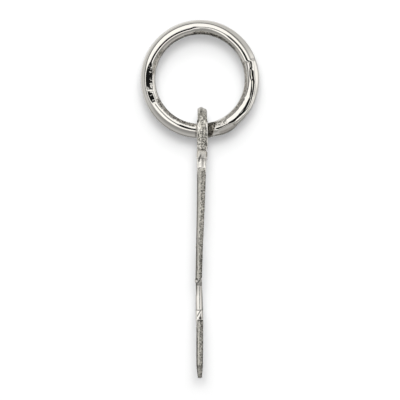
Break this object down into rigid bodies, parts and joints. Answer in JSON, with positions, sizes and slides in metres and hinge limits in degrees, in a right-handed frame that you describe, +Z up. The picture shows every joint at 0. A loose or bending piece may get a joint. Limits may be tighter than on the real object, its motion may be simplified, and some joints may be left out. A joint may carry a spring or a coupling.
{
  "type": "letter charm on a jump ring",
  "caption": "Flat cast block letter S with an ear on its top edge, hanging from a round-wire jump ring and free to swing on it.",
  "frame": {"origin": "top of the jump ring's inside, where the chain bears", "axes": "+Z up, X along the letter's width to the reader's right, -Y towards the reader of the letter; the ring lies in the YZ plane"},
  "size_m": [0.0104, 0.0082, 0.0248],
  "materials": {
    "polished_silver": "polished sterling silver wire with small plier marks",
    "cast_silver": "cast sterling silver, polished faces and matt, finely pitted edges"
  },
  "bodies": {
    "ring": {"jump_ring": "polished_silver"},
    "charm": {"letter": "cast_silver"}
  },
  "joints": [
    {"name": "letter_swing", "type": "hinge", "parent": "ring", "child": "charm", "pos_m": [0, 0, -0.00673], "axis": [0, 1, 0], "range_deg": [-120, 120]}
  ]
}
